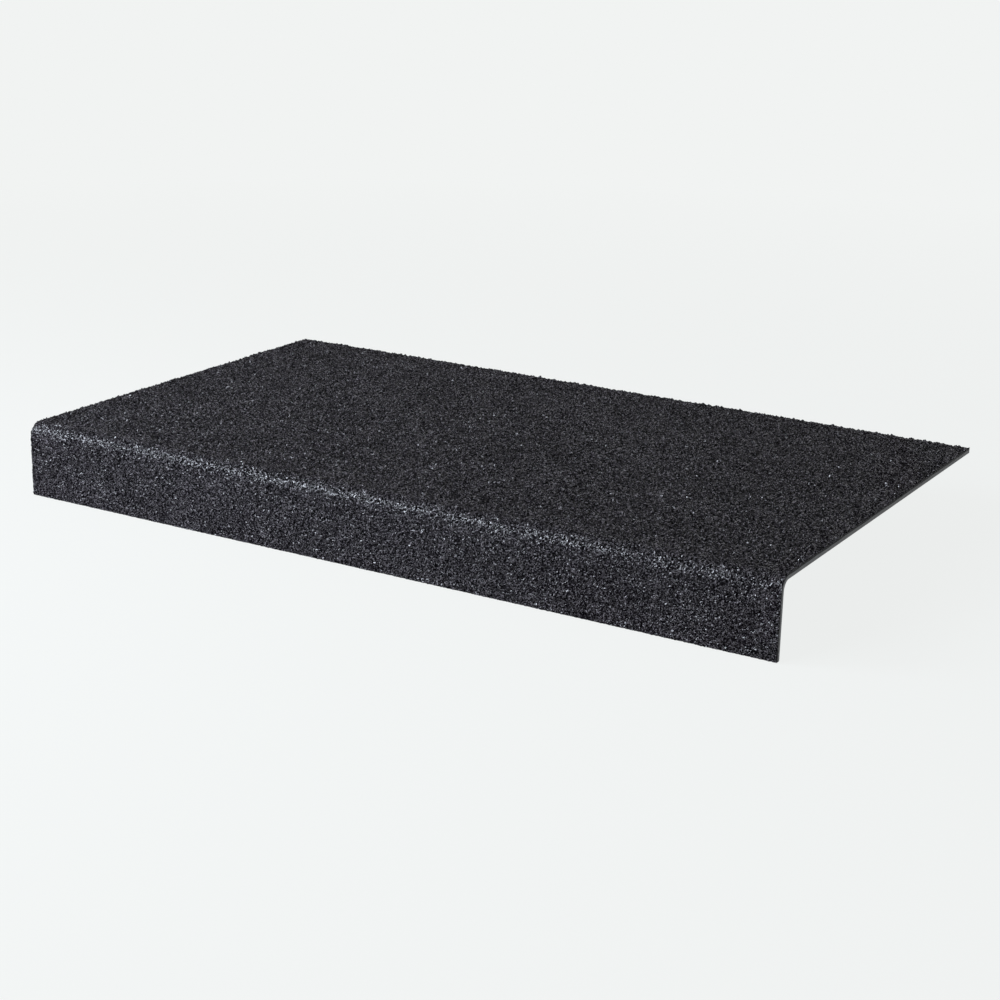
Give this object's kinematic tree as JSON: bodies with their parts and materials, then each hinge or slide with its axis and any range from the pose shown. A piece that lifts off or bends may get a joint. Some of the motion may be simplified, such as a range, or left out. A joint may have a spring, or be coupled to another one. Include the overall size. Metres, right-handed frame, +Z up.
{
  "type": "stair tread cover",
  "caption": "Anti-slip stair tread cover: a moulded glass-fibre plate with a gritted black face, folded down over the front edge of a step.",
  "frame": {"origin": "under the middle of the part's length and depth, level with the foot of the front leg", "axes": "+X along the step, +Y from the front leg into the step, +Z up"},
  "size_m": [0.6, 0.345, 0.055],
  "materials": {
    "gritted_resin": "black resin-coated grit, rough to the foot, with small glints"
  },
  "bodies": {
    "root": {"tread_cover": "gritted_resin"}
  },
  "joints": []
}
